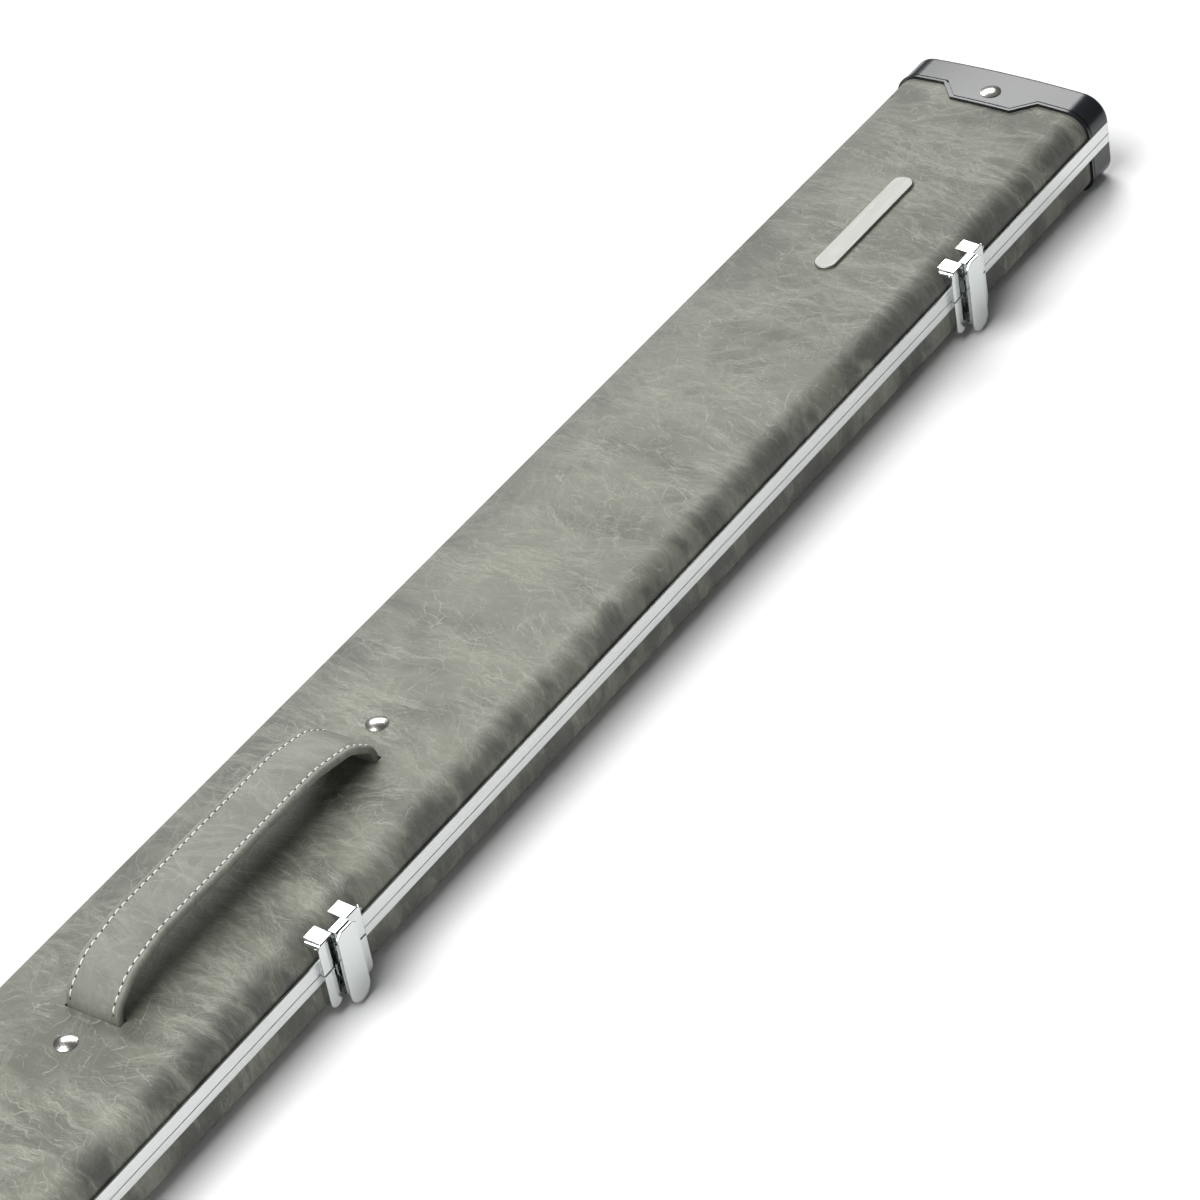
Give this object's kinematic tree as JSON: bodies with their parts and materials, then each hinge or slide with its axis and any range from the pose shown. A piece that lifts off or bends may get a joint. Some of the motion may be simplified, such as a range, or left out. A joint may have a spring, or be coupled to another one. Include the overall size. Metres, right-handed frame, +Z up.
{
  "type": "cue case",
  "caption": "Hard case for a jointed cue: hinged leatherette lid and base with aluminium trims, black end caps, a padded strap handle and flip-up spring latches.",
  "frame": {"origin": "on the surface the closed case lies on, under the middle of its bounding box", "axes": "+X along the case towards the end with the chalk partition, -Y towards the latches, +Y towards the hinges, +Z up out of the lid"},
  "size_m": [1.25, 0.1174, 0.0656],
  "materials": {
    "grey_leatherette": "grey-green crackled leatherette, satin",
    "board": "bare board",
    "velour": "black velour",
    "foam": "black flocked foam",
    "aluminium_trim": "bright rolled",
    "black_plastic": "moulded, lightly textured",
    "chrome": "polished nickel or chrome plate",
    "rivet_nickel": "polished nickel, slightly dulled",
    "satin_metal": "satin",
    "steel": "plain",
    "handle_leather": "padded grey-green leatherette with white stitching"
  },
  "bodies": {
    "base": {"base_cover": "grey_leatherette", "base_floor_board": "board", "base_side_boards": "board", "base_end_boards": "board", "base_lining": "velour", "base_trim_front": "aluminium_trim", "base_trim_back": "aluminium_trim", "base_end_cap_left": "black_plastic", "base_end_cap_right": "black_plastic", "base_cap_rivets": "chrome", "front_divider": "board", "rear_divider": "board", "chalk_partition": "board", "front_cue_rests": "foam", "middle_cue_rests": "foam", "latch_keeper_rivets": "chrome", "base_hinge_rivets": "steel", "latch_keeper_left": "chrome", "latch_keeper_centre": "chrome", "latch_keeper_right": "chrome", "latch_spring_left": "steel", "latch_spring_centre": "steel", "latch_spring_right": "steel", "hinge_base_leaf_left": "steel", "hinge_base_leaf_centre": "steel", "hinge_base_leaf_right": "steel", "hinge_pin_left": "steel", "hinge_pin_centre": "steel", "hinge_pin_right": "steel"},
    "lid": {"lid_cover": "grey_leatherette", "lid_top_board": "board", "lid_side_boards": "board", "lid_end_boards": "board", "lid_lining": "velour", "lid_trim_front": "aluminium_trim", "lid_trim_back": "aluminium_trim", "lid_end_cap_left": "black_plastic", "lid_end_cap_right": "black_plastic", "lid_cap_rivets": "rivet_nickel", "lid_pads": "foam", "badge": "satin_metal", "handle_strap": "handle_leather", "handle_steel_strip": "steel", "handle_rivets": "rivet_nickel", "handle_backing_plates": "steel", "latch_bracket_rivets": "chrome", "lid_hinge_rivets": "steel", "latch_bracket_left": "chrome", "latch_bracket_centre": "chrome", "latch_bracket_right": "chrome", "latch_pin_left": "chrome", "latch_pin_centre": "chrome", "latch_pin_right": "chrome", "hinge_lid_leaf_left": "steel", "hinge_lid_leaf_centre": "steel", "hinge_lid_leaf_right": "steel"},
    "lever_left": {"latch_lever_left": "chrome"},
    "lever_centre": {"latch_lever_centre": "chrome"},
    "lever_right": {"latch_lever_right": "chrome"}
  },
  "joints": [
    {"name": "lid_hinge", "type": "hinge", "parent": "base", "child": "lid", "pos_m": [0, 0.05677, 0.0246], "axis": [-1, 0, 0], "range_deg": [0, 100]},
    {"name": "lever_hinge_left", "type": "hinge", "parent": "lid", "child": "lever_left", "pos_m": [-0.4886, -0.05328, 0.0378], "axis": [-1, 0, 0], "range_deg": [0, 100]},
    {"name": "lever_hinge_centre", "type": "hinge", "parent": "lid", "child": "lever_centre", "pos_m": [0, -0.05328, 0.0378], "axis": [-1, 0, 0], "range_deg": [0, 100]},
    {"name": "lever_hinge_right", "type": "hinge", "parent": "lid", "child": "lever_right", "pos_m": [0.4886, -0.05328, 0.0378], "axis": [-1, 0, 0], "range_deg": [0, 100]}
  ]
}
